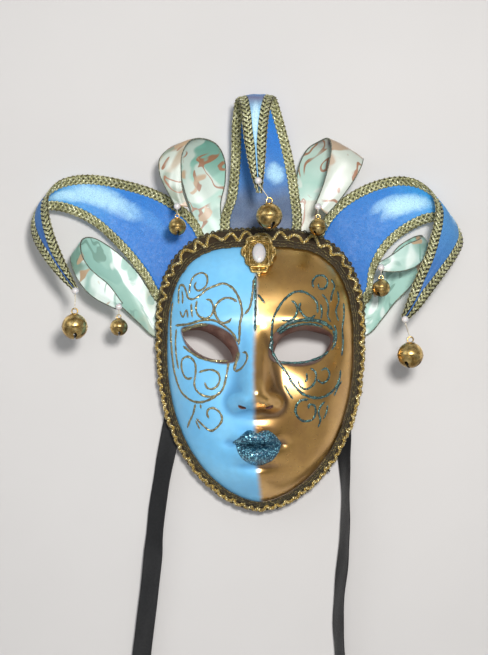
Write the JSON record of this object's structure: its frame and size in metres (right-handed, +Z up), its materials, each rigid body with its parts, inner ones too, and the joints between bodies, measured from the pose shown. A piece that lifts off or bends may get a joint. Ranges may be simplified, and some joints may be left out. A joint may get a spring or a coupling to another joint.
{
  "type": "jester mask",
  "caption": "Full-face jester's carnival mask with folded velvet and ribbon points that end in pearls and jingle bells, a braided rim, a brooch and flat ties.",
  "frame": {"origin": "midway across the rim's flat back plane at eye level, where the mask sits on a face", "axes": "+Z up, the face looks along -Y, the wearer's face comes in from +Y, +X to the right of someone facing the mask"},
  "size_m": [0.3616, 0.0793, 0.4972],
  "materials": {
    "shell": "painted papier mache, blue on one half and gold on the other, satin varnish",
    "trim": "dark gimp with a gold cord",
    "velvet": "blue velvet, short pile",
    "braid": "pale olive gold plaited braid",
    "print": "printed satin ribbon in aqua, white and orange brown",
    "pearl": "imitation pearl",
    "bell": "gold plated, polished",
    "thread": "cream sewing thread",
    "setting": "antique gold casting",
    "tie": "black satin ribbon"
  },
  "bodies": {
    "mask": {"face_shell": "shell", "face_trim": "trim", "brooch_setting": "setting", "brooch_pearl": "pearl", "left_point_velvet": "velvet", "left_point_braid": "braid", "left_point_pearl": "pearl", "left_point_link": "thread", "centre_point_velvet": "velvet", "centre_point_braid": "braid", "centre_point_pearl": "pearl", "centre_point_link": "thread", "right_point_velvet": "velvet", "right_point_braid": "braid", "right_point_pearl": "pearl", "right_point_link": "thread", "upper_left_ribbon": "print", "upper_left_pearl": "pearl", "upper_left_link": "thread", "upper_left_bell": "bell", "upper_right_ribbon": "print", "upper_right_pearl": "pearl", "upper_right_link": "thread", "upper_right_bell": "bell", "lower_left_ribbon": "print", "lower_left_pearl": "pearl", "lower_left_link": "thread", "lower_left_bell": "bell", "lower_right_ribbon": "print", "lower_right_pearl": "pearl", "lower_right_link": "thread", "lower_right_bell": "bell", "left_tie": "tie", "right_tie": "tie"},
    "left_bell": {"left_point_bell": "bell"},
    "centre_bell": {"centre_point_bell": "bell"},
    "right_bell": {"right_point_bell": "bell"}
  },
  "joints": [
    {"name": "left_bell_swing", "type": "hinge", "parent": "mask", "child": "left_bell", "pos_m": [-0.15165, -0.05457, 0.02698], "axis": [0, 1, 0], "range_deg": [-30, 30]},
    {"name": "centre_bell_swing", "type": "hinge", "parent": "mask", "child": "centre_bell", "pos_m": [0.00644, -0.06111, 0.11643], "axis": [0, 1, 0], "range_deg": [-30, 30]},
    {"name": "right_bell_swing", "type": "hinge", "parent": "mask", "child": "right_bell", "pos_m": [0.12116, -0.05494, 0.00389], "axis": [0, 1, 0], "range_deg": [-30, 30]}
  ]
}
